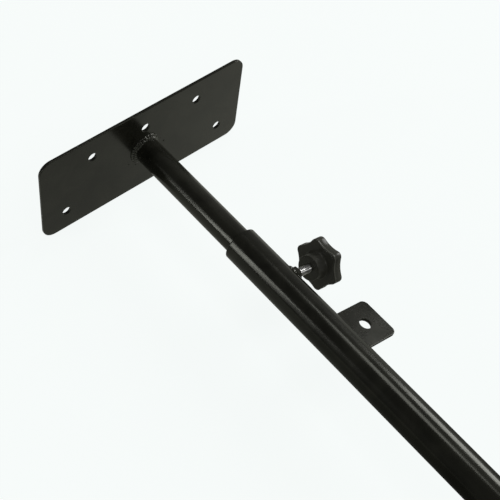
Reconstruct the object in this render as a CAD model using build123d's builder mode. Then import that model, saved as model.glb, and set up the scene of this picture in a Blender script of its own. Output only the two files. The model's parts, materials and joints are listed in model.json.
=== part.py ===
from build123d import *

import os
from math import cos, radians, sin

# Telescopic door security bar: a thin tube slides in a thick one and is held by a clamp knob.
# Each tube ends in a screw-on plate, and the thick tube carries a lug for a padlock.
# Millimetres. +X runs along the bar from the near plate to the far one, +Y along the plates'
# long edges and +Z up. The origin is the centre of the near plate's mounting face.

# End plates
plate_length = 228.6
plate_height = 101.6
plate_thickness = 3.0
plate_corner_radius = 12.7
plate_edge_rounding = 0.5
plate_hole_diameter = 9.5
plate_hole_pitch = 59.0
plate_row_spacing = 55.0
plate_weld_leg = 4.0

# Tubes
inner_tube_diameter = 25.4
inner_tube_wall = 2.0
inner_tube_length = 600.0
inner_tube_showing = 135.3
outer_tube_wall = 3.18
outer_tube_length = 600.0
outer_tube_deburr = 0.4
tube_gap = 0.62

# Guide ring, in a groove near the inner tube's hidden end
ring_width = 10.0
ring_from_tube_end = 10.0
ring_slit = 2.0
ring_groove_depth = 0.8
ring_running_clearance = 0.05
ring_side_clearance = 0.1

# The clamp and the lug stand on one line along the tube, tilted below the plates' long axis
clamp_line_tilt = 17.5

# Clamp nut and its weld
clamp_from_tube_mouth = 51.0
nut_across_flats = 13.0
nut_height = 6.5
nut_chamfer_width = 0.9
nut_chamfer_height = 0.55
nut_weld_height = 3.0
nut_weld_width = 1.2
nut_weld_depth = 6.0
nut_weld_taper = 25.0
tube_hole_clearance = 0.5

# Clamp screw, moulded into the knob, and the brass slug that it presses on the inner tube
screw_diameter = 7.9
screw_free_length = 24.0
screw_moulded_length = 18.0
screw_tip_chamfer = 1.0
screw_thread_clearance = 0.05
slug_length = 1.9
slug_tube_gap = 0.3
slug_screw_gap = 0.1

# Knob
knob_lobes = 6
knob_waist_diameter = 40.8
knob_scallop_radius = 29.5
knob_lobe_rounding = 4.9
knob_head_height = 10.6
knob_top_rounding = 2.0
knob_under_rounding = 0.8
knob_hub_diameter = 24.0
knob_hub_length = 10.4
knob_hub_taper = 5.0
knob_hub_rounding = 0.8
knob_crown_diameter = 26.0
knob_crown_height = 1.5
knob_crown_rounding = 1.2

# Padlock lug
lug_from_clamp = 72.8
lug_length = 41.6
lug_reach = 43.0
lug_thickness = 3.0
lug_corner_radius = 5.7
lug_edge_rounding = 0.4
lug_hole_diameter = 11.5
lug_hole_from_tube = 22.4
lug_root_sink = 1.0
lug_weld_leg = 3.5
lug_weld_length = 37.0

# Sizes that follow from the ones above
inner_tube_radius = inner_tube_diameter / 2
outer_bore_radius = inner_tube_radius + tube_gap
outer_tube_radius = outer_bore_radius + outer_tube_wall
tube_mouth_x = plate_thickness + inner_tube_showing
outer_tube_end_x = tube_mouth_x + outer_tube_length
bar_length = outer_tube_end_x + plate_thickness
inner_tube_end_x = plate_thickness + inner_tube_length
clamp_x = tube_mouth_x + clamp_from_tube_mouth
lug_x = clamp_x + lug_from_clamp
screw_radius = screw_diameter / 2
nut_bore_radius = screw_radius + screw_thread_clearance
slug_foot = inner_tube_radius + slug_tube_gap
screw_tip = slug_foot + slug_length + slug_screw_gap
knob_hub_end = screw_tip + screw_free_length
knob_underside = knob_hub_end + knob_hub_length
knob_top = knob_underside + knob_head_height

# Directions across the tube: outward along the clamp screw, and square to it
outward = Vector(0, cos(radians(clamp_line_tilt)), -sin(radians(clamp_line_tilt)))
sideways = Vector(0, sin(radians(clamp_line_tilt)), cos(radians(clamp_line_tilt)))


def clamp_plane(distance):
    """The plane square to the clamp screw at this distance from the bar's axis."""
    centre = Vector(clamp_x, 0, 0) + outward * distance
    return Plane(origin=centre, x_dir=(1, 0, 0), z_dir=outward)


def end_plate(back_x, facing):
    """A screw-on plate with five staggered holes; facing is +1 or -1 along X."""
    back = Plane(origin=(back_x, 0, 0), x_dir=(0, facing, 0), z_dir=(facing, 0, 0))
    with BuildPart() as plate:
        with BuildSketch(back):
            RectangleRounded(plate_length, plate_height, plate_corner_radius)
            with Locations((0, plate_row_spacing / 2)):
                with GridLocations(plate_hole_pitch, 0, 3, 1):
                    Circle(plate_hole_diameter / 2, mode=Mode.SUBTRACT)
            with Locations((0, -plate_row_spacing / 2)):
                with GridLocations(3 * plate_hole_pitch, 0, 2, 1):
                    Circle(plate_hole_diameter / 2, mode=Mode.SUBTRACT)
        extrude(amount=plate_thickness)
        back_and_front = plate.faces().filter_by(Axis.X)
        rims = [face.outer_wire().edges() for face in back_and_front]
        fillet(rims[0] + rims[1], plate_edge_rounding)
    return plate.part


def plate_weld(front_x, facing, tube_radius):
    """The fillet weld all round a tube where it stands on its plate."""
    with BuildPart() as weld:
        with BuildSketch(Plane.XY):
            with BuildLine():
                Polyline(
                    (front_x, tube_radius),
                    (front_x + facing * plate_weld_leg, tube_radius),
                    (front_x, tube_radius + plate_weld_leg),
                    close=True,
                )
            make_face()
        revolve(axis=Axis.X)
    return weld.part


near_plate = end_plate(0, 1)
near_plate.label = "near_plate"

near_plate_weld = plate_weld(plate_thickness, 1, inner_tube_radius)
near_plate_weld.label = "near_plate_weld"

far_plate = end_plate(bar_length, -1)
far_plate.label = "far_plate"

far_plate_weld = plate_weld(outer_tube_end_x, -1, outer_tube_radius)
far_plate_weld.label = "far_plate_weld"

# Inner tube, with the groove that the guide ring sits in
groove_radius = inner_tube_radius - ring_groove_depth
ring_x = inner_tube_end_x - ring_from_tube_end - ring_width
with BuildPart() as inner_tube:
    with BuildSketch(Plane.YZ.offset(plate_thickness)):
        Circle(inner_tube_radius)
        Circle(inner_tube_radius - inner_tube_wall, mode=Mode.SUBTRACT)
    extrude(amount=inner_tube_length)
    with BuildSketch(Plane.YZ.offset(ring_x - ring_side_clearance)):
        Circle(inner_tube_radius)
        Circle(groove_radius, mode=Mode.SUBTRACT)
    extrude(amount=ring_width + 2 * ring_side_clearance, mode=Mode.SUBTRACT)
inner_tube.part.label = "inner_tube"

# Guide ring: split, so that it snaps into the groove, and free to turn on the inner tube
ring_outer_radius = outer_bore_radius - ring_running_clearance
with BuildPart() as guide_ring:
    with BuildSketch(Plane.YZ.offset(ring_x)):
        Circle(ring_outer_radius)
        Circle(groove_radius + ring_running_clearance, mode=Mode.SUBTRACT)
        with Locations((-ring_outer_radius, 0)):
            Rectangle(ring_outer_radius, ring_slit, mode=Mode.SUBTRACT)
    extrude(amount=ring_width)
guide_ring.part.label = "guide_ring"

# Outer tube, drilled through one wall for the clamp screw
with BuildPart() as outer_tube:
    with BuildSketch(Plane.YZ.offset(tube_mouth_x)):
        Circle(outer_tube_radius)
        Circle(outer_bore_radius, mode=Mode.SUBTRACT)
    extrude(amount=outer_tube_length)
    mouth = outer_tube.faces().sort_by(Axis.X)[0]
    chamfer(mouth.edges(), outer_tube_deburr)
    with BuildSketch(clamp_plane(0)):
        Circle(nut_bore_radius + tube_hole_clearance)
    extrude(amount=outer_tube_radius + outer_tube_wall, mode=Mode.SUBTRACT)
outer_tube.part.label = "outer_tube"

# Clamp nut, seated on the tube's crown
with BuildPart() as clamp_nut:
    with BuildSketch(clamp_plane(outer_tube_radius)):
        Circle(nut_across_flats / 2 / cos(radians(30)))
    extrude(amount=nut_height)
    nut_rim = clamp_nut.edges().filter_by(GeomType.CIRCLE).sort_by(Axis(clamp_plane(0).origin, outward))[-1]
    chamfer(nut_rim, length=nut_chamfer_height, length2=nut_chamfer_width)
    with BuildSketch(clamp_plane(outer_tube_radius)):
        RegularPolygon(nut_across_flats / 2, 6, major_radius=False)
    extrude(amount=nut_height, mode=Mode.INTERSECT)
    with BuildSketch(clamp_plane(outer_tube_radius)):
        Circle(nut_bore_radius)
    extrude(amount=nut_height, mode=Mode.SUBTRACT)
clamp_nut.part.label = "clamp_nut"

# Weld round the nut: a cone that the nut and the tube are cut out of
nut_weld_root = outer_tube_radius - nut_weld_depth
nut_weld_rise = nut_weld_depth + nut_weld_height
nut_weld_top_radius = nut_across_flats / 2 / cos(radians(30)) + nut_weld_width
nut_weld_spread = nut_weld_rise * sin(radians(nut_weld_taper)) / cos(radians(nut_weld_taper))
with BuildPart() as clamp_nut_weld:
    with BuildSketch(clamp_plane(nut_weld_root)):
        Circle(nut_weld_top_radius + nut_weld_spread)
    extrude(amount=nut_weld_rise, taper=nut_weld_taper)
    with BuildSketch(clamp_plane(nut_weld_root)):
        RegularPolygon(nut_across_flats / 2, 6, major_radius=False)
    extrude(amount=nut_weld_rise, mode=Mode.SUBTRACT)
    with BuildSketch(Plane.YZ.offset(tube_mouth_x)):
        Circle(outer_tube_radius)
    extrude(amount=outer_tube_length, mode=Mode.SUBTRACT)
clamp_nut_weld.part.label = "clamp_nut_weld"

# Pressure slug, loose in the tube wall and the nut's bore
with BuildPart() as pressure_slug:
    with BuildSketch(clamp_plane(slug_foot)):
        Circle(screw_radius)
    extrude(amount=slug_length)
pressure_slug.part.label = "pressure_slug"

# Clamp screw
with BuildPart() as clamp_screw:
    with BuildSketch(clamp_plane(screw_tip)):
        Circle(screw_radius)
    extrude(amount=screw_free_length + screw_moulded_length)
    tip_edge = clamp_screw.edges().filter_by(GeomType.CIRCLE).sort_by(Axis(clamp_plane(0).origin, outward))[0]
    chamfer(tip_edge, screw_tip_chamfer)
clamp_screw.part.label = "clamp_screw"

# Knob: a scalloped head on a slightly tapered hub, moulded round the screw
scallop_centre_radius = knob_waist_diameter / 2 + knob_scallop_radius
with BuildPart() as knob:
    with BuildSketch(clamp_plane(knob_underside)) as star:
        Circle(scallop_centre_radius)
        with PolarLocations(scallop_centre_radius, knob_lobes, start_angle=180 / knob_lobes):
            Circle(knob_scallop_radius, mode=Mode.SUBTRACT)
        fillet(star.vertices(), knob_lobe_rounding)
    extrude(amount=knob_head_height)
    along_screw = Axis(clamp_plane(0).origin, outward)
    head_faces = knob.faces().filter_by(GeomType.PLANE).sort_by(along_screw)
    fillet(head_faces[-1].edges(), knob_top_rounding)
    fillet(head_faces[0].edges(), knob_under_rounding)
    with BuildSketch(clamp_plane(knob_top)):
        Circle(knob_crown_diameter / 2)
    extrude(amount=knob_crown_height)
    fillet(knob.faces().filter_by(GeomType.PLANE).sort_by(along_screw)[-1].edges(), knob_crown_rounding)
    with BuildSketch(clamp_plane(knob_hub_end)):
        Circle(knob_hub_diameter / 2)
    extrude(amount=knob_hub_length, taper=-knob_hub_taper)
    fillet(knob.faces().filter_by(GeomType.PLANE).sort_by(along_screw)[0].edges(), knob_hub_rounding)
    with BuildSketch(clamp_plane(knob_hub_end)):
        Circle(screw_radius)
    extrude(amount=screw_moulded_length, mode=Mode.SUBTRACT)
knob.part.label = "knob"

# Padlock lug: a flat tab on edge, its root cut to the tube
lug_plane = Plane(origin=(lug_x, 0, 0), x_dir=(1, 0, 0), z_dir=sideways)
lug_root = outer_tube_radius - lug_root_sink
lug_tip = outer_tube_radius + lug_reach
with BuildPart() as padlock_lug:
    with BuildSketch(lug_plane) as tab:
        with Locations((0, (lug_root + lug_tip) / 2)):
            Rectangle(lug_length, lug_tip - lug_root)
        fillet(tab.vertices().group_by(Axis.Y)[-1], lug_corner_radius)
        with Locations((0, outer_tube_radius + lug_hole_from_tube)):
            Circle(lug_hole_diameter / 2, mode=Mode.SUBTRACT)
    extrude(amount=lug_thickness / 2, both=True)
    lug_sides = padlock_lug.faces().filter_by(lug_plane).sort_by(Axis(lug_plane.origin, sideways))
    lug_rims = lug_sides[0].outer_wire().edges() + lug_sides[-1].outer_wire().edges()
    fillet(lug_rims.sort_by(Axis(lug_plane.origin, outward))[2:], lug_edge_rounding)
    with BuildSketch(Plane.YZ.offset(tube_mouth_x)):
        Circle(outer_tube_radius)
    extrude(amount=outer_tube_length, mode=Mode.SUBTRACT)
padlock_lug.part.label = "padlock_lug"

# Weld beads along both sides of the lug
bead_foot = lug_thickness / 2 + lug_weld_leg
bead_start = Plane(origin=(lug_x - lug_weld_length / 2, 0, 0), x_dir=outward, z_dir=(1, 0, 0))
with BuildPart() as padlock_lug_weld:
    with BuildSketch(bead_start) as beads:
        with BuildLine():
            Polyline(
                (lug_root, lug_thickness / 2),
                (outer_tube_radius + lug_weld_leg, lug_thickness / 2),
                (outer_tube_radius, bead_foot),
                (lug_root, bead_foot),
                close=True,
            )
        make_face()
        mirror(about=Plane.XZ)
    extrude(amount=lug_weld_length)
    with BuildSketch(Plane.YZ.offset(tube_mouth_x)):
        Circle(outer_tube_radius)
    extrude(amount=outer_tube_length, mode=Mode.SUBTRACT)
padlock_lug_weld.part.label = "padlock_lug_weld"

os.makedirs("parts", exist_ok=True)
pieces = [
    near_plate,
    near_plate_weld,
    inner_tube.part,
    guide_ring.part,
    outer_tube.part,
    far_plate,
    far_plate_weld,
    clamp_nut.part,
    clamp_nut_weld.part,
    pressure_slug.part,
    clamp_screw.part,
    knob.part,
    padlock_lug.part,
    padlock_lug_weld.part,
]
for piece in pieces:
    export_step(piece, f"parts/{piece.label}.step")
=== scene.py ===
import json
import math
import random

import bmesh
import bpy
from bpy.props import FloatProperty, FloatVectorProperty, IntProperty, PointerProperty
from mathutils import Matrix, Vector, noise


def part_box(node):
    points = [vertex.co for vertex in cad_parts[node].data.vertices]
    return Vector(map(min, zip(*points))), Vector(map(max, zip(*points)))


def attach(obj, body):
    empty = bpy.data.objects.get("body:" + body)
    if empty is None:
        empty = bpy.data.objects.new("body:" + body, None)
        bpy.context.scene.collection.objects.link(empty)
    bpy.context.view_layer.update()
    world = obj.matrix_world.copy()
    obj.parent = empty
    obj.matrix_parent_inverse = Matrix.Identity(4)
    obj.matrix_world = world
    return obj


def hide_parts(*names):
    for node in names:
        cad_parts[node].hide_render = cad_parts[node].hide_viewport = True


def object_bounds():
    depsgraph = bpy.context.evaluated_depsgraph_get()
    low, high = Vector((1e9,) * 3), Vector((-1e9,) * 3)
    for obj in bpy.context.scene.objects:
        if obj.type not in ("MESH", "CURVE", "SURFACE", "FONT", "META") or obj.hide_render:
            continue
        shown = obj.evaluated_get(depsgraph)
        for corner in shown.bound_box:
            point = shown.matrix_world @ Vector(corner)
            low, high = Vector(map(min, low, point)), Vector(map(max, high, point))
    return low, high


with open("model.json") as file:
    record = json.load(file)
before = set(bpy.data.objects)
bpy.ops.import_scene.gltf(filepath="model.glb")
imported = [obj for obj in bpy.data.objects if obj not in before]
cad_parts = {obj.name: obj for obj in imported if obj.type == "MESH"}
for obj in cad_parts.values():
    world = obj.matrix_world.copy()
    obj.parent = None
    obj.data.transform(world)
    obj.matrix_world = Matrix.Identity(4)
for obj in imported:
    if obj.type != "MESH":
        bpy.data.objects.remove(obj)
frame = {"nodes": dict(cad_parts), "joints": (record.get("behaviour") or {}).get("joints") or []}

# Looks of a telescopic door security bar: black powder-coated steel, a zinc-plated clamp
# screw and a black moulded star knob. Metres, in the frame of the packed model: +X runs along
# the bar from the near plate to the far plate, and +Z is up.

bl_info = {
    "name": "Door Security Bar Looks",
    "version": (1, 0, 0),
    "blender": (4, 5, 0),
    "location": "View3D > Sidebar > Security Bar",
    "description": "Builds the visible pieces of a door security bar on its packed model",
    "category": "Object",
}

MM = 0.001
FULL_TURN = 2 * math.pi
CAD_BOX = [list(corner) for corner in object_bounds()]

# Bodies of the packed model, and the material slot of its coated steel
OUTER_BODY = "outer_assembly"
INNER_BODY = "inner_assembly"
KNOB_BODY = "clamp_knob"
STEEL_SLOT = "black_powder_coat"


# ------------ places from the frame

def joint(name):
    """The record of a joint of the packed model."""
    return next(item for item in frame["joints"] if item["name"] == name)


def long_box(node):
    """(low x, high x, radius) of a node that is round about the bar's axis."""
    low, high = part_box(node)
    return low.x, high.x, (high.y - low.y) / 2


ALONG = Vector((1, 0, 0))
CLAMP_ORIGIN = Vector(joint("knob_turn")["pos_m"])
OUTWARD = Vector(joint("knob_turn")["axis"]).normalized()
SIDEWAYS = ALONG.cross(OUTWARD).normalized()


def span(node, direction=OUTWARD, origin=CLAMP_ORIGIN):
    """(nearest, farthest) distance of a node's points from origin along a direction."""
    distances = [(v.co - origin).dot(direction) for v in frame["nodes"][node].data.vertices]
    return min(distances), max(distances)


def clamp_radius(node):
    """The largest distance of a node's points from the clamp's line."""
    spots = [v.co - CLAMP_ORIGIN for v in frame["nodes"][node].data.vertices]
    return max((spot - OUTWARD * spot.dot(OUTWARD)).length for spot in spots)


# ------------ sizes and colours a user may change

LIGHT_ANGLE = "Angle of the light above the floor, from +Y"


def metres(name, description, default, **limits):
    """A size."""
    return FloatProperty(name=name, description=description, default=default, unit="LENGTH", **limits)


def degrees(name, description, value):
    """An angle."""
    return FloatProperty(
        name=name, description=description, default=math.radians(value), subtype="ANGLE"
    )


def number(name, description, default, low=0.0, high=1.0):
    """A plain number between two limits."""
    return FloatProperty(name=name, description=description, default=default, min=low, max=high)


def count(name, description, default, low, high):
    """A whole number between two limits."""
    return IntProperty(name=name, description=description, default=default, min=low, max=high)


def rgb(name, description, default):
    """A colour, as linear red, green and blue."""
    return FloatVectorProperty(
        name=name, description=description, default=default, subtype="COLOR", min=0.0, max=1.0
    )


def light_values(name, default):
    """A rectangular light."""
    description = "Brightness, place along the bar, width and height"
    return FloatVectorProperty(name=name, description=description, default=default, size=4)


class SteelSettings(bpy.types.PropertyGroup):
    """The powder coat on plates, tubes, nut and lug."""

    coat_colour: rgb("Coat colour", "Colour of the black powder coat", (0.0201, 0.0202, 0.0150))
    coat_tint: rgb("Coat reflection tint", "Tint of what the powder coat reflects", (0.98, 1.0, 0.885))
    coat_roughness: number("Coat roughness", "How blurred the coat's reflections are", 0.18, low=0.05)
    orange_peel_size: metres("Orange peel size", "Distance between the coat's soft ripples", 2.4 * MM)
    orange_peel_height: metres("Orange peel height", "Height of the coat's soft ripples", 0.002 * MM)
    weld_shine: number("Weld shine", "Strength of the reflections on a weld bead", 0.8)
    weld_lump_size: metres(
        "Weld lump size", "Distance between the small lumps on a weld bead", 1.3 * MM
    )
    weld_lump_height: metres("Weld lump height", "Height of the small lumps on a weld bead", 0.12 * MM)
    smudge_size: metres("Smudge size", "Size of the pale, dusty smudges on the coat", 34 * MM)
    smudge_lift: number(
        "Smudge lift", "How much lighter than the clean coat a smudge is", 1.5, low=1.0, high=5.0
    )
    # The edge band is painted lighter: partly a thin coat, partly a painted edge highlight.
    edge_break: metres("Edge break", "Width of the band along an edge where the coat is thin", 0.6 * MM)


class TubeSettings(bpy.types.PropertyGroup):
    """The two telescoping tubes."""

    segments: count("Segments", "Steps round each tube", 144, 24, 512)
    mouth_rounding: metres("Mouth rounding", "Rounding of the outer tube's sawn mouth", 0.4 * MM)
    end_rounding: metres("End rounding", "Rounding of the inner tube's hidden end", 0.3 * MM)
    inner_wall: metres("Inner tube wall", "Wall thickness of the inner tube", 2.0 * MM)
    groove_depth: metres("Groove depth", "Depth of the guide ring's groove", 0.8 * MM)
    groove_play: metres(
        "Groove play", "Gap between the guide ring and each side of its groove", 0.1 * MM
    )


class WeldSettings(bpy.types.PropertyGroup):
    """The weld beads and the spatter beside them."""

    ripple_pitch: metres("Ripple pitch", "Distance between the ripples of a bead", 2.6 * MM)
    ripple_height: metres("Ripple height", "How far a ripple stands out of its bead", 0.55 * MM)
    lump_size: metres("Lump size", "Distance between the lumps on a bead", 2.1 * MM)
    lump_height: metres("Lump height", "How far a lump stands out of its bead", 0.42 * MM)
    hollow: number(
        "Hollow", "Share by which a bead's face is drawn in between its two edges", 0.30, high=0.6
    )
    unevenness: number("Unevenness", "Share by which a bead's width wanders", 0.30, high=0.5)
    plate_bead_share: number(
        "Plate bead share", "Mean width of a plate's bead as a share of the room it has", 0.82, low=0.3
    )
    spatter_count: count("Spatter", "Beads of spatter beside each plate weld", 14, 0, 60)
    spatter_radius: metres("Spatter radius", "Radius of the largest bead of spatter", 0.85 * MM)


class ScrewSettings(bpy.types.PropertyGroup):
    """The zinc-plated clamp screw."""

    thread_pitch: metres("Thread pitch", "Advance of the thread in one turn", 1.25 * MM)
    thread_depth: metres("Thread depth", "Depth of the thread's groove", 0.34 * MM)
    tip_chamfer: metres("Tip chamfer", "Chamfer at the screw's tip", 1.0 * MM)
    zinc_colour: rgb("Zinc colour", "Colour of the zinc plate", (0.97, 0.97, 0.95))
    zinc_roughness: number("Zinc roughness", "How blurred the zinc's reflections are", 0.25, low=0.05)


class KnobSettings(bpy.types.PropertyGroup):
    """The six-lobed star knob."""

    lobes: count("Lobes", "Number of lobes round the knob", 6, 3, 12)
    waist_radius: metres("Waist radius", "Radius of the head between two lobes", 20.4 * MM)
    scallop_radius: metres("Scallop radius", "Radius of the hollow between two lobes", 29.5 * MM)
    lobe_radius: metres("Lobe radius", "Radius of a lobe's round end", 4.9 * MM)
    under_rounding: metres("Under rounding", "Rounding of the head's edge towards the bar", 0.8 * MM)
    top_rounding: metres("Top rounding", "Rounding of the head's outer edge", 2.0 * MM)
    parting_height: metres(
        "Parting line", "Height of the mould's parting line above the head's underside", 2.2 * MM
    )
    hub_radius: metres("Hub radius", "Radius of the hub at its free end", 12.0 * MM)
    hub_length: metres("Hub length", "Length of the hub below the head", 10.4 * MM)
    hub_taper: degrees("Hub taper", "Taper of the hub's side", 5.0)
    crown_radius: metres("Crown radius", "Radius of the raised middle on top", 13.0 * MM)
    crown_height: metres("Crown height", "Height of the raised middle on top", 1.5 * MM)
    segments: count("Segments", "Steps round the knob", 240, 48, 720)
    plastic_colour: rgb("Plastic colour", "Colour of the moulded plastic", (0.078, 0.078, 0.063))
    plastic_shine: number("Plastic shine", "Strength of the plastic's reflections", 0.35)
    plastic_roughness: number(
        "Plastic roughness", "How blurred the plastic's reflections are", 0.25, low=0.05
    )


class StageSettings(bpy.types.PropertyGroup):
    """Floor, lights and camera."""

    floor_colour: rgb("Floor colour", "Colour of the pale floor", (0.93, 0.965, 0.955))
    floor_glow: number(
        "Floor glow", "Brightness of the floor where it is looked at directly", 0.955, high=2.0
    )
    floor_bounce_left: number(
        "Floor bounce, left", "Brightness the floor sends back on the -Y side", 0.28, high=2.0
    )
    floor_bounce_right: number(
        "Floor bounce, right", "Brightness the floor sends back on the +Y side", 0.43, high=2.0
    )
    bounce_colour: rgb("Bounce colour", "Colour of the light the floor sends back", (0.985, 1.0, 0.90))
    floor_bounce_reach: metres(
        "Floor bounce reach", "Distance over which the bounce by the near plate fades", 0.293, min=0.01
    )
    floor_bounce_far_reach: metres(
        "Far bounce reach", "Distance over which the bounce by the far plate fades", 0.15, min=0.01
    )
    surroundings: number("Surroundings", "Brightness of the room round the object", 0.062, high=5.0)
    surroundings_right: number(
        "Surroundings, right", "Extra brightness of the room towards +Y", 0.153, high=5.0
    )
    light_distance: metres(
        "Light distance", "Distance of the light panels from the bar's axis", 3.0, min=0.5, max=20.0
    )
    left_light: light_values("Left light", (5.43, -1.132, 0.236, 1.54))
    left_rise: degrees("Left light's angle", LIGHT_ANGLE, 157.0)
    top_light: light_values("Top light", (2.3, -0.342, 0.574, 0.954))
    top_rise: degrees("Top light's angle", LIGHT_ANGLE, 73.7)
    right_light: light_values("Right light", (3.94, 0.40, 1.50, 1.34))
    right_rise: degrees("Right light's angle", LIGHT_ANGLE, 26.0)
    far_light: light_values("Far light", (1.3, 2.8, 2.4, 0.9))
    far_rise: degrees("Far light's angle", LIGHT_ANGLE, 95.0)
    lens: number("Lens", "Focal length in millimetres on a 36 mm sensor", 83.0, low=10.0, high=300.0)
    camera_place: FloatVectorProperty(
        name="Camera place",
        description="Place of the camera in the packed model's frame",
        default=(0.53746, -0.44139, 0.81678),
        subtype="TRANSLATION",
        unit="LENGTH",
    )
    camera_heading: degrees(
        "Camera heading", "Direction of view over the floor, from +Y towards +X", -41.205
    )
    camera_down: degrees("Camera tilt", "How far the camera looks down", 54.163)
    camera_roll: degrees("Camera roll", "Turn of the camera about its line of view", 9.865)


# ------------ material building blocks

# The range that holds most of a noise's values
CLOUD_LOW, CLOUD_HIGH = 0.3, 0.7
# Refractive index of powder coat and moulded plastic
RESIN_IOR = 1.5


class NodeBoard:
    """A node tree with short calls to add and join nodes; most return an output socket."""

    def __init__(self, tree):
        self.tree = tree
        self.tree.nodes.clear()
        self.place = self.add("TexCoord", {}).outputs

    def add(self, kind, inputs, **settings):
        """A new node with its settings and inputs."""
        node = self.tree.nodes.new("ShaderNode" + kind)
        for key, value in settings.items():
            setattr(node, key, value)
        self.fill(node, inputs)
        return node

    def fill(self, node, inputs):
        """Links each input that is a socket, and sets each that is a value."""
        for key, value in inputs.items():
            slot = node.inputs[key]
            if isinstance(value, bpy.types.NodeSocket):
                self.tree.links.new(value, slot)
            elif slot.type == "RGBA":
                slot.default_value = (*value, 1.0)
            else:
                slot.default_value = value

    def noise(self, size, detail=2.0, roughness=0.5, distortion=0.0):
        """Noise whose lumps are about this size, in metres."""
        names = ("Vector", "Scale", "Detail", "Roughness", "Distortion")
        values = (self.place["Object"], 1.0 / size, detail, roughness, distortion)
        return self.add("TexNoise", dict(zip(names, values))).outputs["Fac"]

    def math(self, operation, *values):
        """A calculation on numbers or sockets."""
        return self.add("Math", dict(enumerate(values)), operation=operation).outputs["Value"]

    def spread(self, source, low_in, high_in, low, high):
        """The source's range low_in to high_in, mapped to low to high."""
        names = ("Value", "From Min", "From Max", "To Min", "To Max")
        inputs = dict(zip(names, (source, low_in, high_in, low, high)))
        return self.add("MapRange", inputs).outputs["Result"]

    def drift(self, cloud, low, high):
        """A cloud's usual range, mapped to low to high."""
        return self.spread(cloud, CLOUD_LOW, CLOUD_HIGH, low, high)

    def bump(self, source, height, below=None):
        """A bump of this height in metres, on top of another bump if one is given."""
        inputs = {"Height": source, "Distance": height, "Strength": 1.0}
        if below is not None:
            inputs["Normal"] = below
        return self.add("Bump", inputs).outputs["Normal"]

    def mix(self, factor, first, second):
        """A blend of two by a factor; each is a colour or a socket."""
        node = self.add("Mix", {"Factor": factor}, data_type="RGBA")
        slots = [index for index, slot in enumerate(node.inputs) if slot.type == "RGBA"]
        self.fill(node, dict(zip(slots, (first, second))))
        return next(slot for slot in node.outputs if slot.type == "RGBA")

    def axes(self, kind):
        """X, Y and Z of a place, "Object", or of a direction, "Generated"."""
        return self.add("SeparateXYZ", {"Vector": self.place[kind]}).outputs

    def looked_at(self):
        """1 where the camera looks straight at something, 0 for light that only lands there."""
        return self.add("LightPath", {}).outputs["Is Camera Ray"]


class MaterialBoard(NodeBoard):
    """A new material's node tree, with its shader."""

    def __init__(self, name):
        self.material = bpy.data.materials.new(name)
        self.material.use_nodes = True
        super().__init__(self.material.node_tree)
        self.shader = self.add("BsdfPrincipled", {})
        self.add("OutputMaterial", {"Surface": self.shader.outputs["BSDF"]})

    def shade(self, **inputs):
        """Fills the shader's inputs, named with underscores for spaces."""
        self.fill(self.shader, {key.replace("_", " "): value for key, value in inputs.items()})

    def edge_mask(self, width, full_bend=0.90):
        """1 where the surface bends away within this width, 0 on flat stretches."""
        soft = self.add("Bevel", {"Radius": width}, samples=4).outputs["Normal"]
        plain = self.add("NewGeometry", {}).outputs["Normal"]
        agree = self.add("VectorMath", {0: soft, 1: plain}, operation="DOT_PRODUCT")
        return self.spread(agree.outputs["Value"], 1.0, full_bend, 0.0, 1.0)


def scaled(colour, factor):
    """A colour made darker or lighter by a factor."""
    return tuple(channel * factor for channel in colour)


# ------------ finishes

def powder_coat_board(name):
    """Black powder coat: soft orange peel, fine speckle, cloudy gloss, and edges painted lighter,
    partly for a thin coat and partly as a painted edge highlight.

    Returns the material's board and its topmost bump.
    """
    steel = bpy.context.scene.bar_steel
    clean_share, thin_coat_highlight_share = 0.75, 2.2
    grain_height = steel.orange_peel_height * 0.12
    board = MaterialBoard(name)
    cloud = board.noise(size=22 * MM, detail=3.0)
    fine = board.noise(size=0.35 * MM)
    peel = board.noise(size=steel.orange_peel_size, detail=1.5)
    film = board.noise(size=steel.smudge_size, detail=4.0, roughness=0.6, distortion=0.8)
    edge = board.edge_mask(steel.edge_break)

    smudge = board.spread(film, low_in=0.38, high_in=0.66, low=0.0, high=1.0)
    # Along edges the colour turns lighter: partly a thin coat, partly a painted edge highlight.
    clean, dusty, thin_coat_highlight = (
        scaled(steel.coat_colour, share) for share in (clean_share, steel.smudge_lift, thin_coat_highlight_share)
    )
    gloss = board.drift(cloud, steel.coat_roughness * 0.88, steel.coat_roughness * 1.14)
    speckle = board.spread(fine, low_in=0.35, high_in=0.65, low=-0.008, high=0.012)
    ripple = board.bump(peel, steel.orange_peel_height)
    grain = board.bump(fine, grain_height, below=ripple)
    board.shade(
        Base_Color=board.mix(edge, board.mix(smudge, clean, dusty), thin_coat_highlight),
        Roughness=board.math("ADD", gloss, speckle),
        Normal=grain,
        Specular_IOR_Level=0.5,
        Specular_Tint=steel.coat_tint,
        IOR=RESIN_IOR,
    )
    return board, grain


def powder_coat(name):
    """The powder coat on plain steel."""
    return powder_coat_board(name)[0].material


def weld_coat(name):
    """The powder coat over a weld bead: glossier, with small lumps and craters."""
    steel = bpy.context.scene.bar_steel
    board, smooth = powder_coat_board(name)
    lumps = board.noise(size=steel.weld_lump_size)
    rough = board.bump(lumps, steel.weld_lump_height, below=smooth)
    board.shade(Normal=rough, Specular_IOR_Level=steel.weld_shine)
    return board.material


def clouded_finish(name, cloud, colours, gloss, grain, grain_height, **others):
    """A material whose colour and roughness drift with a cloud, under a fine grain.

    cloud and grain are the settings of their noise; others are inputs of the shader.
    """
    board = MaterialBoard(name)
    drift = board.noise(**cloud)
    board.shade(
        Base_Color=board.mix(drift, *colours),
        Roughness=board.drift(drift, *gloss),
        Normal=board.bump(board.noise(**grain), grain_height),
        **others,
    )
    return board.material


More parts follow.
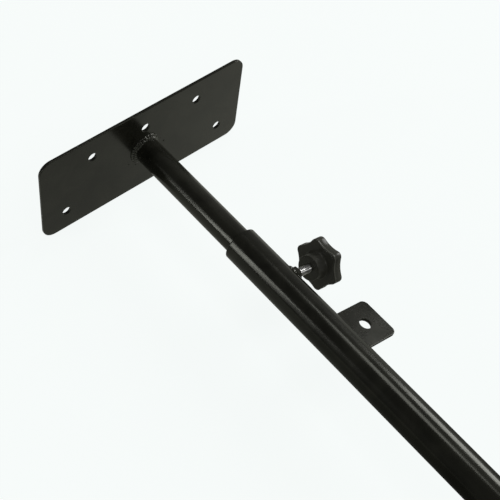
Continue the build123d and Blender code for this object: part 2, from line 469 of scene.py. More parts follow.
def zinc_plate(name):
    """Bright zinc plate with faint clouds and turning marks."""
    screw = bpy.context.scene.bar_screw
    return clouded_finish(
        name,
        cloud={"size": 2.5 * MM, "detail": 3.0},
        colours=(scaled(screw.zinc_colour, 0.86), screw.zinc_colour),
        gloss=(screw.zinc_roughness * 0.8, screw.zinc_roughness * 1.3),
        grain={"size": 0.25 * MM, "detail": 3.0, "roughness": 0.65},
        grain_height=0.006 * MM,
        Metallic=1.0,
    )


def moulded_plastic(name):
    """Satin black moulded plastic with a fine grain and slightly polished edges."""
    knob = bpy.context.scene.bar_knob
    edge_polish = -0.07
    board = MaterialBoard(name)
    cloud = board.noise(size=9 * MM)
    grain = board.noise(size=0.30 * MM)
    flow = board.noise(size=3.5 * MM, detail=1.0)
    edge = board.edge_mask(width=0.8 * MM)
    dark, light = scaled(knob.plastic_colour, 0.85), scaled(knob.plastic_colour, 1.25)
    gloss = board.drift(cloud, knob.plastic_roughness * 0.92, knob.plastic_roughness * 1.1)
    rubbed = board.spread(edge, 0.0, 1.0, 0.0, edge_polish)
    waves = board.bump(flow, height=0.02 * MM)
    board.shade(
        Base_Color=board.mix(cloud, dark, light),
        Roughness=board.math("ADD", gloss, rubbed),
        Normal=board.bump(grain, height=0.004 * MM, below=waves),
        Specular_IOR_Level=knob.plastic_shine,
        IOR=RESIN_IOR,
    )
    return board.material


def natural_nylon(name):
    """Off-white nylon, slightly cloudy."""
    return clouded_finish(
        name,
        cloud={"size": 4 * MM},
        colours=((0.66, 0.63, 0.52), (0.76, 0.74, 0.66)),
        gloss=(0.38, 0.52),
        grain={"size": 0.4 * MM},
        grain_height=0.01 * MM,
        Subsurface_Weight=0.15,
        Subsurface_Scale=1.5 * MM,
    )


def turned_brass(name):
    """Brass with fine turning marks."""
    return clouded_finish(
        name,
        cloud={"size": 3 * MM},
        colours=((0.68, 0.48, 0.20), (0.80, 0.60, 0.28)),
        gloss=(0.22, 0.36),
        grain={"size": 0.2 * MM},
        grain_height=0.005 * MM,
        Metallic=1.0,
    )


MATERIAL_MAKERS = {
    STEEL_SLOT: powder_coat,
    "black_powder_coat_on_weld": weld_coat,
    "zinc_plated_steel": zinc_plate,
    "black_moulded_plastic": moulded_plastic,
    "natural_nylon": natural_nylon,
    "brass": turned_brass,
}


def finish_of(kind):
    """The shown material of this kind, made once."""
    name = "look_" + kind
    return bpy.data.materials.get(name) or MATERIAL_MAKERS[kind](name)


def finish_cad_piece(node, slot):
    """Gives a node of the packed model, shown as it is, its finish."""
    piece = frame["nodes"][node]
    piece.data.materials.clear()
    piece.data.materials.append(finish_of(slot))


# ------------ mesh building blocks

def add_piece(name, mesh_data, body, replaced=(), slot=STEEL_SLOT, sharp=35, finish=""):
    """Links a piece, gives it its finish, ties it to its body and hides the CAD nodes it replaces.

    Edges that bend more than sharp, in degrees, stay crisp.
    """
    bmesh.ops.recalc_face_normals(mesh_data, faces=mesh_data.faces)
    shape = bpy.data.meshes.new(name)
    mesh_data.to_mesh(shape)
    mesh_data.free()
    for face in shape.polygons:
        face.use_smooth = True
    shape.set_sharp_from_angle(angle=math.radians(sharp))
    piece = bpy.data.objects.new(name, shape)
    bpy.context.scene.collection.objects.link(piece)
    shape.materials.append(finish_of(finish or slot))
    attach(piece, body)
    if replaced:
        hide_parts(*replaced)


def close_rows(shape, rows):
    """Faces between neighbouring closed rows of points."""
    for first, second in zip(rows, rows[1:]):
        for i in range(len(first)):
            j = (i + 1) % len(first)
            shape.faces.new((first[i], first[j], second[j], second[i]))


def turns(steps):
    """Angles in even steps round a full turn."""
    return [FULL_TURN * step / steps for step in range(steps)]


def from_axis(turn):
    """The direction away from the bar's axis at an angle round it."""
    return Vector((0, math.cos(turn), math.sin(turn)))


def revolved(profile, segments):
    """A new shape: a closed profile of (x, radius) points turned round the bar's axis."""
    shape = bmesh.new()
    rows = []
    for x, radius in profile:
        row = []
        for turn in turns(segments):
            row.append(shape.verts.new((x, radius * math.cos(turn), radius * math.sin(turn))))
        rows.append(row)
    close_rows(shape, rows + rows[:1])
    return shape


def arc(centre, radius, start, end, steps):
    """Points (x, y) on an arc, from start to end in degrees."""
    x, y = centre
    sweep = [math.radians(start + (end - start) * step / steps) for step in range(steps + 1)]
    return [(x + radius * math.cos(turn), y + radius * math.sin(turn)) for turn in sweep]


def from_clamp(angle):
    """The direction away from the clamp's line at an angle round it."""
    return ALONG * math.cos(angle) + SIDEWAYS * math.sin(angle)


def clamp_point(shape, height, angle, radius):
    """A new point at a height along the clamp's line and an angle and radius about it."""
    return shape.verts.new(CLAMP_ORIGIN + OUTWARD * height + from_clamp(angle) * radius)


# ------------ tubes

def build_inner_tube(settings):
    """Thin tube, welded to the near plate, with the guide ring's groove."""
    start, end, radius = long_box("inner_tube")
    ring_start, ring_end, _ = long_box("guide_ring")
    groove_start = ring_start - settings.groove_play
    groove_end = ring_end + settings.groove_play
    groove_radius = radius - settings.groove_depth
    bore = radius - settings.inner_wall
    rounding = settings.end_rounding
    profile = [(start, radius), (groove_start, radius), (groove_start, groove_radius)]
    profile += [(groove_end, groove_radius), (groove_end, radius), (end - 3 * rounding, radius)]
    profile += arc((end - rounding, radius - rounding), rounding, 90, 0, steps=4)
    profile += [(end, bore), (start, bore)]
    shape = revolved(profile, settings.segments)
    add_piece("inner_tube_body", shape, INNER_BODY, ["inner_tube"])


def build_outer_tube(settings):
    """Thick tube that the clamp nut, the lug and the far plate are welded to."""
    start, end, radius = long_box("outer_tube")
    bore = long_box("guide_ring")[2]
    rounding = settings.mouth_rounding
    straight = start + 3 * rounding
    mouth = start + rounding
    profile = [(end, radius), (end, bore), (straight, bore)]
    profile += arc((mouth, bore + rounding), rounding, 270, 180, steps=5)
    profile += arc((mouth, radius - rounding), rounding, 180, 90, steps=5)
    profile += [(straight, radius)]
    shape = revolved(profile, settings.segments)
    add_piece("outer_tube_body", shape, OUTER_BODY, ["outer_tube"])


# ------------ weld beads

# A bead's cross-section, in degrees from the first face to the second. It dips a little into
# both, and its root sinks into the corner.
BEAD_START, BEAD_SWEEP = -4, 98
BEAD_STEPS = 14
BEAD_DIP = 0.08
BEAD_SINK = 0.35 * MM
BEAD_HOLLOW_POWER = 1.5
# Its ripples, in ripple lengths: how far the middle runs ahead and how far one strays
RIPPLE_LEAD, RIPPLE_JITTER = 0.30, 0.22
# A ripple's lean and breadth, and the share of its height that is left at the bead's feet
RIPPLE_LEAN, RIPPLE_BREADTH = 0.7, 0.8
RIPPLE_AT_FEET = 0.35
# How often its width and its ripples wander: round a closed bead, along an open one
CLOSED_WANDER, CLOSED_JITTER = 1.3, 4.0
OPEN_WANDER, OPEN_JITTER = 4.0, 12.0
# They bring a noise's range to about one
WANDER_GAIN = 1.6
LUMP_GAIN = 2.0
# Square of the size that a tapered bead keeps at its very end
SMALLEST_END = 0.02

PLATE_BEAD_POINTS = 360
NUT_BEAD_POINTS = 240
LUG_BEAD_POINTS = 150
NUT_BEAD_LEGS = (2.6 * MM, 3.2 * MM)
NUT_BEAD_SEED = 4.0
LUG_BEAD_LEGS = (3.4 * MM, 3.3 * MM)
LUG_BEAD_TAPER = 2.5 * MM
# How strongly the nut's bead follows the hexagon's corners
HEXAGON_SHARE = 0.65

# (plate, tube, body, side of the plate's face, seed of the bead, seed of the spatter)
PLATE_WELDS = (
    ("near_plate", "inner_tube", INNER_BODY, 1, 0.4, 11),
    ("far_plate", "outer_tube", OUTER_BODY, -1, 2.9, 23),
)
# (side of the lug, seed of the bead)
LUG_SIDES = ((1, 1.7), (-1, 8.2))


def bead_unevenness(share, seed, closed):
    """(slow wander, quick jitter) at a share of a bead's length."""
    if closed:
        turn = FULL_TURN * share
        around = Vector((math.cos(turn), math.sin(turn), seed))
        slow = around * CLOSED_WANDER
        quick = around * CLOSED_JITTER + Vector((7, 3, 1))
    else:
        slow = Vector((share * OPEN_WANDER, seed, 0.3))
        quick = Vector((share * OPEN_JITTER, seed, 5.1))
    return noise.noise(slow), noise.noise(quick)


def bead(shape, path, legs, seed, settings, closed=True, taper=0.0):
    """A weld bead swept along a path.

    path is a list of (corner point, direction along the first face, direction along the
    second face), evenly spaced; legs are the bead's reach along those faces.
    """
    lengths = [0.0]
    for before, after in zip(path, path[1:]):
        lengths.append(lengths[-1] + (after[0] - before[0]).length)
    total = lengths[-1]
    if closed:
        total += (path[0][0] - path[-1][0]).length
    ripples = total / settings.ripple_pitch
    if closed:
        ripples = max(1, round(ripples))
    rows = []
    for (corner, along_a, along_b), run in zip(path, lengths):
        share = run / total
        wander, jitter = bead_unevenness(share, seed, closed)
        size = 1.0 + settings.unevenness * wander * WANDER_GAIN
        from_end = min(run, total - run)
        if from_end < taper:
            size *= math.sqrt(max(SMALLEST_END, 1 - (1 - from_end / taper) ** 2))
        row = []
        for step in range(BEAD_STEPS + 1):
            turn = math.radians(BEAD_START + BEAD_SWEEP * step / BEAD_STEPS)
            bulge = math.sin(2 * max(0.0, min(math.pi / 2, turn)))
            phase = ripples * share + RIPPLE_LEAD * bulge + RIPPLE_JITTER * jitter
            saw = phase - math.floor(phase)
            crest = math.sin(math.pi * saw ** RIPPLE_LEAN) ** RIPPLE_BREADTH
            height = RIPPLE_AT_FEET + (1 - RIPPLE_AT_FEET) * bulge
            lift = 1.0 + settings.ripple_height * crest * height / legs[0]
            reach_a = legs[0] * size * lift * max(-BEAD_DIP, math.cos(turn))
            reach_b = legs[1] * size * lift * max(-BEAD_DIP, math.sin(turn))
            fullness = 1.0 - settings.hollow * (1.0 - abs(math.cos(2 * turn)) ** BEAD_HOLLOW_POWER)
            point = corner + along_a * reach_a * fullness + along_b * reach_b * fullness
            lump = noise.noise(point / settings.lump_size) * settings.lump_height * LUMP_GAIN
            point += (along_a + along_b).normalized() * lump * bulge
            row.append(shape.verts.new(point))
        row.append(shape.verts.new(corner - (along_a + along_b) * BEAD_SINK))
        rows.append(row)
    close_rows(shape, rows + rows[:1] if closed else rows)
    if not closed:
        shape.faces.new(rows[0])
        shape.faces.new(rows[-1])


def add_bead(name, shape, body, weld):
    """Adds a weld bead in place of its CAD node."""
    add_piece(name, shape, body, [weld], sharp=60, finish="black_powder_coat_on_weld")


def weld_foot(plate, tube, facing):
    """(x of the plate's face, radius of the tube) where the two meet."""
    plate_low, plate_high, _ = long_box(plate)
    return (plate_high if facing > 0 else plate_low), long_box(tube)[2]


def plate_bead(plate, tube, body, facing, seed, settings):
    """The bead all round a tube where it stands on its plate."""
    face_x, radius = weld_foot(plate, tube, facing)
    weld_low, weld_high, _ = long_box(plate + "_weld")
    leg = (weld_high - weld_low) * settings.plate_bead_share
    path = []
    for turn in turns(PLATE_BEAD_POINTS):
        outward = from_axis(turn)
        path.append((Vector((face_x, 0, 0)) + outward * radius, outward, ALONG * facing))
    shape = bmesh.new()
    bead(shape, path, (leg, leg), seed, settings)
    add_bead(plate + "_bead", shape, body, plate + "_weld")


def plate_spatter(plate, tube, body, facing, seed, settings):
    """Small beads of spatter on the plate and the tube beside a weld."""
    smallest, flattening = 0.35, 0.35
    share_on_plate = 0.7
    plate_reach = (5.0, 13.0)
    tube_reach = (5.5, 12.0)
    plate_rise, tube_rise = 0.15, 0.1
    face_x, radius = weld_foot(plate, tube, facing)
    dice = random.Random(seed)
    shape = bmesh.new()
    for _ in range(settings.spatter_count):
        size = settings.spatter_radius * dice.uniform(smallest, 1.0)
        outward = from_axis(dice.uniform(0, FULL_TURN))
        if dice.random() < share_on_plate:
            away = radius + dice.uniform(*plate_reach) * MM
            centre = Vector((face_x + facing * size * plate_rise, 0, 0)) + outward * away
            flat = ALONG * facing
        else:
            centre = outward * (radius + size * tube_rise)
            centre.x = face_x + facing * dice.uniform(*tube_reach) * MM
            flat = outward
        drop = bmesh.ops.create_icosphere(shape, subdivisions=3, radius=size)
        for vert in drop["verts"]:
            height = vert.co.dot(flat)
            vert.co = vert.co - flat * height * flattening + centre
    add_piece(plate + "_spatter", shape, body, sharp=80)


def nut_bead(settings):
    """The bead round the clamp nut, following the crown of the tube."""
    tube_radius = long_box("outer_tube")[2]
    nut_radius = clamp_radius("clamp_nut")
    flat, half_flat = math.radians(60), math.radians(30)
    path = []
    for turn in turns(NUT_BEAD_POINTS):
        away = from_clamp(turn)
        hexagon = math.cos(half_flat) / math.cos((turn % flat) - half_flat)
        reach = nut_radius * (1 - HEXAGON_SHARE + HEXAGON_SHARE * hexagon)
        across = reach * math.sin(turn)
        height = math.sqrt(tube_radius ** 2 - across ** 2)
        corner = CLAMP_ORIGIN + away * reach + OUTWARD * height
        slope = across / tube_radius
        down = (away - OUTWARD * slope * math.sin(turn)).normalized()
        path.append((corner, down, OUTWARD))
    shape = bmesh.new()
    bead(shape, path, NUT_BEAD_LEGS, NUT_BEAD_SEED, settings)
    add_bead("clamp_nut_bead", shape, OUTER_BODY, "clamp_nut_weld")


def lug_beads(settings):
    """The two beads along the lug's root."""
    tube_radius = long_box("outer_tube")[2]
    low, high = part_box("padlock_lug_weld")
    lug_low, lug_high = span("padlock_lug", SIDEWAYS, Vector())
    half = (lug_high - lug_low) / 2
    foot = math.sqrt(tube_radius ** 2 - half ** 2)
    slope = math.asin(half / tube_radius)
    shape = bmesh.new()
    for side, seed in LUG_SIDES:
        down = (SIDEWAYS * side * math.cos(slope) - OUTWARD * math.sin(slope)).normalized()
        path = []
        for step in range(LUG_BEAD_POINTS):
            x = low.x + (high.x - low.x) * step / (LUG_BEAD_POINTS - 1)
            corner = Vector((x, 0, 0)) + OUTWARD * foot + SIDEWAYS * side * half
            path.append((corner, down, OUTWARD))
        bead(shape, path, LUG_BEAD_LEGS, seed, settings, closed=False, taper=LUG_BEAD_TAPER)
    add_bead("padlock_lug_beads", shape, OUTER_BODY, "padlock_lug_weld")


# ------------ clamp screw

SCREW_POINTS = 64
# (share of a turn's advance, share of the thread's depth) round one thread
CREST_FORM = ((0.00, 0.06), (0.04, 0.00), (0.30, 0.00), (0.34, 0.06))
ROOT_FORM = ((0.52, 0.88), (0.57, 0.98), (0.64, 1.00), (0.71, 0.98), (0.78, 0.88))
THREAD_FORM = CREST_FORM + ROOT_FORM


def screw_ring(shape, height, radius):
    """A ring of new points round the screw."""
    return [clamp_point(shape, height, turn, radius) for turn in turns(SCREW_POINTS)]


def thread_rows(shape, tip, end, radius, settings):
    """Rows of points along a thread's helix, held between its tip and its end."""
    pitch = settings.thread_pitch
    threads = int((end - tip) / pitch) + 2
    rows = []
    for thread in range(-1, threads):
        for share, depth_share in THREAD_FORM:
            row = []
            for step, turn in enumerate(turns(SCREW_POINTS)):
                height = tip + (thread + share + step / SCREW_POINTS) * pitch
                height = min(max(height, tip), end)
                reach = radius - settings.thread_depth * depth_share
                reach = min(reach, radius - settings.tip_chamfer + (height - tip))
                row.append(clamp_point(shape, height, turn, reach))
            rows.append(row)
    return rows


def build_clamp_screw(settings):
    """Threaded rod with a chamfered tip, from the slug into the knob."""
    thread_in_hub = 2.5 * MM
    shank_overlap = 0.3 * MM
    merge_distance = 0.002 * MM
    tip, end = span("clamp_screw")
    hub = span("knob")[0]
    radius = clamp_radius("clamp_screw")
    core = radius - settings.thread_depth
    thread_end = hub + thread_in_hub
    shape = bmesh.new()
    rows = thread_rows(shape, tip, thread_end, radius, settings)
    per_turn = len(THREAD_FORM)
    for k, (row, next_row) in enumerate(zip(rows, rows[1:])):
        for i in range(SCREW_POINTS - 1):
            shape.faces.new((row[i], row[i + 1], next_row[i + 1], next_row[i]))
        if k + per_turn + 1 < len(rows):
            ahead, beyond = rows[k + per_turn], rows[k + per_turn + 1]
            shape.faces.new((ahead[-1], row[0], next_row[0], beyond[-1]))
    bmesh.ops.remove_doubles(shape, verts=shape.verts, dist=merge_distance)
    bmesh.ops.dissolve_degenerate(shape, dist=merge_distance, edges=shape.edges)
    shank = [screw_ring(shape, height, core) for height in (thread_end - shank_overlap, end)]
    close_rows(shape, shank)
    shape.faces.new(shank[-1])
    shape.faces.new(screw_ring(shape, tip, radius - settings.tip_chamfer))
    slot = "zinc_plated_steel"
    add_piece("clamp_screw_thread", shape, KNOB_BODY, ["clamp_screw"], slot, sharp=50)


# ------------ knob

# (inset, height above the parting line) of the moulding seam, in millimetres
SEAM_FORM = ((0.02, -0.26), (0.14, -0.10), (0.14, 0.10), (0.02, 0.26))
# (radius, dip) of the shallow dish in the crown, in millimetres
DISH_FORM = ((9.5, 0.03), (6.0, 0.10), (3.0, 0.16), (0.9, 0.20))
# Shares of the star outline in the rows across the head's underside and top
UNDERSIDE_SHARES = (0.15, 0.35, 0.6, 0.85)
TOP_SHARES = (0.75, 0.45, 0.2)


def star_radius(turn, settings, inset):
    """Radius at an angle of a star of round lobes and scallops, moved inwards by inset."""
    half = math.pi / settings.lobes
    from_lobe = abs((turn + half) % (2 * half) - half)
    scallop_centre = settings.waist_radius + settings.scallop_radius
    reach = settings.scallop_radius + settings.lobe_radius
    beside = scallop_centre * math.sin(half)
    ahead = math.sqrt(reach ** 2 - beside ** 2)
    lobe_centre = scallop_centre * math.cos(half) - ahead
    lobe_radius = settings.lobe_radius - inset
    scallop_radius = settings.scallop_radius + inset
    touch = math.atan2(lobe_radius * beside / reach, lobe_centre + lobe_radius * ahead / reach)
    if from_lobe <= touch:
        off_axis = lobe_centre * math.sin(from_lobe)
        return lobe_centre * math.cos(from_lobe) + math.sqrt(lobe_radius ** 2 - off_axis ** 2)
    from_scallop = half - from_lobe
    off_axis = scallop_centre * math.sin(from_scallop)
    return scallop_centre * math.cos(from_scallop) - math.sqrt(scallop_radius ** 2 - off_axis ** 2)


def knob_rows(settings):
    """The knob from its hole for the screw, over the hub and the head, to the crown.

    Each row is (share of the star outline, fixed radius, inward offset, height).
    """
    hole_depth, hole_share = 1.2 * MM, 0.90
    neck_depth, neck_play = 0.35 * MM, 0.05 * MM
    lip_reach, lip_rounding = 0.4 * MM, 0.3 * MM
    hub_edge, hub_fillet = 0.8 * MM, 1.2 * MM
    taper_inset, taper_drop = 0.12 * MM, 1.6 * MM
    side_drop, top_margin = 1.5 * MM, 0.9 * MM
    crown_fillet, crown_rounding = 0.5 * MM, 0.9 * MM

    hub_end, crown_top = span("knob")
    screw_radius = clamp_radius("clamp_screw")
    hub_radius = settings.hub_radius
    hub_root = hub_radius + settings.hub_length * math.tan(settings.hub_taper)
    underside = hub_end + settings.hub_length
    crown_radius, crown_height = settings.crown_radius, settings.crown_height
    head_top = crown_top - crown_height
    parting = underside + settings.parting_height
    under_round, top_round = settings.under_rounding, settings.top_rounding
    rows = []

    def fixed(radius, height):
        rows.append((0.0, radius, 0.0, height))

    def fixed_arc(base, *values):
        for x, y in arc(*values):
            fixed(x, base + y)

    def starry(inset, height):
        rows.append((1.0, 0.0, inset, height))

    def starry_arc(base, *values):
        for x, y in arc(*values):
            starry(-x, base + y)

    def blend(share, radius, inset, height):
        rows.append((share, radius * (1 - share), inset, height))

    fixed(screw_radius * hole_share, hub_end + hole_depth)
    fixed(screw_radius + neck_play, hub_end + neck_depth)
    fixed_arc(hub_end, (screw_radius + lip_reach, lip_rounding), lip_rounding, 180, 270, 4)
    fixed_arc(hub_end, (hub_radius - hub_edge, hub_edge), hub_edge, 270, 350, 7)
    fixed(hub_root - taper_inset, underside - taper_drop)
    fixed_arc(underside, (hub_root + hub_fillet, -hub_fillet), hub_fillet, 172, 90, 6)
    for share in UNDERSIDE_SHARES:
        blend(share, hub_root + hub_fillet, under_round, underside)
    starry_arc(underside, (-under_round, under_round), under_round, 270, 360, 6)
    for inset, height in SEAM_FORM:
        starry(inset * MM, parting + height * MM)
    starry(0.0, head_top - top_round - side_drop)
    starry_arc(head_top, (-top_round, -top_round), top_round, 0, 90, 8)
    for share in TOP_SHARES:
        blend(share, crown_radius + top_margin, top_round, head_top)
    crown_foot = crown_radius + crown_fillet
    fixed(crown_foot, head_top)
    fixed_arc(head_top, (crown_foot, crown_fillet), crown_fillet, 270, 200, 4)
    crown_edge = (crown_radius - crown_rounding, crown_height - crown_rounding)
    fixed_arc(head_top, crown_edge, crown_rounding, 0, 90, 6)
    for radius, dip in DISH_FORM:
        fixed(radius * MM, head_top + crown_height - dip * MM)
    return rows


def build_knob(settings):
    """Star knob: scalloped head, tapered hub, parting line and raised crown."""
    shape = bmesh.new()
    rows = []
    for share, base, inset, height in knob_rows(settings):
        row = []
        for turn in turns(settings.segments):
            radius = base + share * star_radius(turn, settings, inset)
            row.append(clamp_point(shape, height, turn, radius))
        rows.append(row)
    close_rows(shape, rows)
    shape.faces.new(rows[0])
    shape.faces.new(rows[-1])
    add_piece("star_knob", shape, KNOB_BODY, ["knob"], "black_moulded_plastic", sharp=50)


# ------------ stage

FLOOR_Z = CAD_BOX[0][2]
FLOOR_GAP = 0.2 * MM
FLOOR_RADIUS = 14.0
LIT_POINT = Vector((0.2, 0.0, 0.0))
# Watts of a light panel for one unit of brightness and one square metre
PANEL_POWER = 4.0
SENSOR_WIDTH = 36.0
NEAREST_SEEN, FARTHEST_SEEN = 0.05, 60.0


def camera_matrix(settings):
    """Place and turn of the camera from its heading, tilt and roll."""
    heading, down, roll = settings.camera_heading, settings.camera_down, settings.camera_roll
    forward = Vector(
        (math.sin(heading) * math.cos(down), math.cos(heading) * math.cos(down), -math.sin(down))
    )
    level = forward.cross(Vector((0, 0, 1))).normalized()
    upright = level.cross(forward)
    right = level * math.cos(roll) + upright * math.sin(roll)
    up = upright * math.cos(roll) - level * math.sin(roll)
    turn = Matrix((right, up, -forward)).transposed().to_4x4()
    return Matrix.Translation(Vector(settings.camera_place)) @ turn


def light_panel(name, values, rise, distance):
    """A rectangular light at an angle round the bar, facing the bar."""
    brightness, along, width, height = values
    place = Vector((along, distance * math.cos(rise), distance * math.sin(rise)))
    lamp = bpy.data.lights.new(name, "AREA")
    lamp.shape = "RECTANGLE"
    lamp.size = width
    lamp.size_y = height
    lamp.energy = brightness * PANEL_POWER * width * height
    panel = bpy.data.objects.new(name, lamp)
    bpy.context.scene.collection.objects.link(panel)
    panel.location = place
    panel.rotation_mode = "QUATERNION"
    panel.rotation_quaternion = (LIT_POINT - place).to_track_quat("-Z", "Y")
    panel.visible_camera = False


def fade_with_distance(board, distance, reach):
    """1 at no distance, falling smoothly to nothing past the reach."""
    square = board.math("POWER", board.math("DIVIDE", distance, reach), 2.0)
    return board.math("EXPONENT", board.math("MULTIPLY", square, -1.0))


def floor_finish(settings):
    """Pale, evenly lit floor that throws back a soft light by the bar's two ends."""
    cloud_share = 0.985
    seen_share, unseen_share = 0.15, 0.01
    left_y, right_y = -0.03, 0.14
    board = MaterialBoard("pale_floor")
    colour = tuple(settings.floor_colour)
    seen = board.mix(board.noise(size=0.9), scaled(colour, cloud_share), colour)
    looked_at = board.looked_at()
    spot = board.axes("Object")
    left, right = settings.floor_bounce_left, settings.floor_bounce_right
    side = board.spread(spot["Y"], left_y, right_y, left, right)
    past_near = board.math("MAXIMUM", spot["X"], 0.0)
    near = fade_with_distance(board, past_near, settings.floor_bounce_reach)
    to_far = board.math("SUBTRACT", CAD_BOX[1][0], spot["X"])
    before_far = board.math("MAXIMUM", to_far, 0.0)
    far = fade_with_distance(board, before_far, settings.floor_bounce_far_reach)
    bounce = board.math("MULTIPLY", board.math("ADD", near, far), side)
    glows = {"Factor": looked_at, "A": bounce, "B": settings.floor_glow}
    glow = board.add("Mix", glows, data_type="FLOAT")
    unseen_tone, seen_tone = scaled(colour, unseen_share), scaled(colour, seen_share)
    board.shade(
        Emission_Strength=glow.outputs["Result"],
        Emission_Color=board.mix(looked_at, settings.bounce_colour, seen),
        Base_Color=board.mix(looked_at, unseen_tone, seen_tone),
        Roughness=0.9,
        Specular_IOR_Level=0.0,
    )
    return board.material


def build_floor(settings):
    """The floor, just under the part's lowest point."""
    shape = bmesh.new()
    bmesh.ops.create_circle(shape, cap_ends=True, radius=FLOOR_RADIUS, segments=96)
    for vert in shape.verts:
        vert.co.z = FLOOR_Z - FLOOR_GAP
    ground = bpy.data.meshes.new("floor")
    shape.to_mesh(ground)
    shape.free()
    floor = bpy.data.objects.new("floor", ground)
    bpy.context.scene.collection.objects.link(floor)
    ground.materials.append(floor_finish(settings))


def build_room(settings):
    """Surroundings that grow brighter towards +Y and look like the floor."""
    world = bpy.data.worlds.new("studio")
    bpy.context.scene.world = world
    world.use_nodes = True
    board = NodeBoard(world.node_tree)
    dim, bright = settings.surroundings, settings.surroundings + settings.surroundings_right
    strength = board.spread(board.axes("Generated")["Y"], 0.0, 1.0, dim, bright)
    room = board.add("Background", {"Color": (1.0, 1.0, 1.0), "Strength": strength})
    seen = board.add("Background", {"Color": settings.floor_colour})
    choices = {"Fac": board.looked_at(), 1: room.outputs[0], 2: seen.outputs[0]}
    either = board.add("MixShader", choices)
    board.add("OutputWorld", {"Surface": either.outputs["Shader"]})


def build_camera(settings):
    """The camera, and the plain view transform."""
    scene = bpy.context.scene
    lens = bpy.data.cameras.new("camera")
    lens.lens = settings.lens
    lens.sensor_width = SENSOR_WIDTH
    lens.clip_start = NEAREST_SEEN
    lens.clip_end = FARTHEST_SEEN
    camera = bpy.data.objects.new("camera", lens)
    scene.collection.objects.link(camera)
    camera.matrix_world = camera_matrix(settings)
    scene.camera = camera
    scene.view_settings.view_transform = "Standard"
    scene.view_settings.look = "None"


# ------------ operators

class BAR_OT_finish_steel(bpy.types.Operator):
    """Gives the plates, the nut and the lug their powder coat"""

    bl_idname = "bar.finish_steel"
    bl_label = "Finish the plates, nut and lug"

    def execute(self, context):
        for node in ("near_plate", "far_plate", "clamp_nut", "padlock_lug"):
            finish_cad_piece(node, STEEL_SLOT)
        return {"FINISHED"}


class BAR_OT_finish_hidden(bpy.types.Operator):
    """Gives the guide ring and the pressure slug their finish"""

    bl_idname = "bar.finish_hidden"
    bl_label = "Finish the guide ring and the slug"

    def execute(self, context):
        finish_cad_piece("guide_ring", "natural_nylon")
        finish_cad_piece("pressure_slug", "brass")
        return {"FINISHED"}


class BAR_OT_tubes(bpy.types.Operator):
    """Builds the inner and the outer tube"""

    bl_idname = "bar.tubes"
    bl_label = "Build the tubes"

    def execute(self, context):
        build_inner_tube(context.scene.bar_tubes)
        build_outer_tube(context.scene.bar_tubes)
        return {"FINISHED"}


class BAR_OT_plate_welds(bpy.types.Operator):
    """Builds the beads and the spatter where the tubes stand on their plates"""

    bl_idname = "bar.plate_welds"
    bl_label = "Build the plate welds"

    def execute(self, context):
        settings = context.scene.bar_welds
        for plate, tube, body, facing, seed, _ in PLATE_WELDS:
            plate_bead(plate, tube, body, facing, seed, settings)
        for plate, tube, body, facing, _, seed in PLATE_WELDS:
            plate_spatter(plate, tube, body, facing, seed, settings)
        return {"FINISHED"}


class BAR_OT_clamp_and_lug_welds(bpy.types.Operator):
    """Builds the beads round the clamp nut and along the padlock lug"""

    bl_idname = "bar.clamp_and_lug_welds"
    bl_label = "Build the nut and lug welds"

    def execute(self, context):
        nut_bead(context.scene.bar_welds)
        lug_beads(context.scene.bar_welds)
        return {"FINISHED"}


class BAR_OT_clamp_screw(bpy.types.Operator):
    """Builds the threaded clamp screw"""

    bl_idname = "bar.clamp_screw"
    bl_label = "Build the clamp screw"

    def execute(self, context):
        build_clamp_screw(context.scene.bar_screw)
        return {"FINISHED"}


class BAR_OT_knob(bpy.types.Operator):
    """Builds the star knob"""

    bl_idname = "bar.knob"
    bl_label = "Build the star knob"

    def execute(self, context):
        build_knob(context.scene.bar_knob)
        return {"FINISHED"}


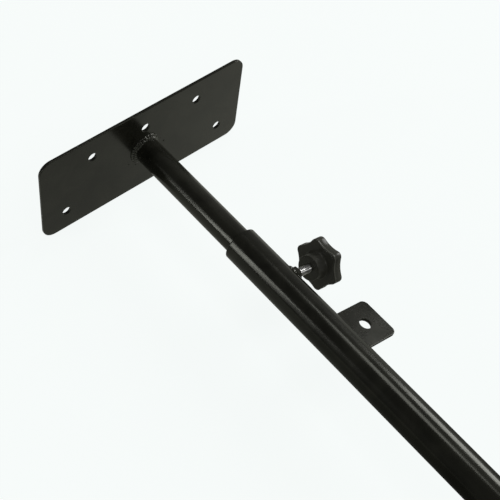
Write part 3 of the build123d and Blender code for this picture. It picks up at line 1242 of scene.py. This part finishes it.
class BAR_OT_stage(bpy.types.Operator):
    """Builds the floor, the lights and the camera"""

    bl_idname = "bar.stage"
    bl_label = "Build the stage"

    def execute(self, context):
        settings = context.scene.bar_stage
        build_floor(settings)
        build_room(settings)
        for side in ("left", "top", "right", "far"):
            values = getattr(settings, side + "_light")
            rise = getattr(settings, side + "_rise")
            light_panel(side + "_panel", values, rise, settings.light_distance)
        build_camera(settings)
        return {"FINISHED"}


class BAR_PT_panel(bpy.types.Panel):
    """Lists the pieces of the security bar"""

    bl_idname = "BAR_PT_panel"
    bl_label = "Security Bar"
    bl_space_type = "VIEW_3D"
    bl_region_type = "UI"
    bl_category = "Security Bar"

    def draw(self, context):
        for operator in OPERATORS:
            self.layout.operator(operator.bl_idname)
        for holder in SETTINGS:
            box = self.layout.box()
            box.label(text=SETTINGS[holder].__doc__)
            settings = getattr(context.scene, holder)
            for name in SETTINGS[holder].__annotations__:
                box.prop(settings, name)


SETTINGS = {
    "bar_steel": SteelSettings,
    "bar_tubes": TubeSettings,
    "bar_welds": WeldSettings,
    "bar_screw": ScrewSettings,
    "bar_knob": KnobSettings,
    "bar_stage": StageSettings,
}

OPERATORS = (
    BAR_OT_finish_steel,
    BAR_OT_finish_hidden,
    BAR_OT_tubes,
    BAR_OT_plate_welds,
    BAR_OT_clamp_and_lug_welds,
    BAR_OT_clamp_screw,
    BAR_OT_knob,
    BAR_OT_stage,
)


def register():
    for group in SETTINGS.values():
        bpy.utils.register_class(group)
    for operator in OPERATORS:
        bpy.utils.register_class(operator)
    bpy.utils.register_class(BAR_PT_panel)
    for name, group in SETTINGS.items():
        setattr(bpy.types.Scene, name, PointerProperty(type=group))


def unregister():
    for name in SETTINGS:
        delattr(bpy.types.Scene, name)
    bpy.utils.unregister_class(BAR_PT_panel)
    for operator in reversed(OPERATORS):
        bpy.utils.unregister_class(operator)
    for group in reversed(list(SETTINGS.values())):
        bpy.utils.unregister_class(group)


def main():
    register()
    bpy.ops.bar.finish_steel()
    bpy.ops.bar.finish_hidden()
    bpy.ops.bar.tubes()
    bpy.ops.bar.plate_welds()
    bpy.ops.bar.clamp_and_lug_welds()
    bpy.ops.bar.clamp_screw()
    bpy.ops.bar.knob()
    bpy.ops.bar.stage()
    bpy.context.view_layer.update()


if __name__ == "__main__":
    main()
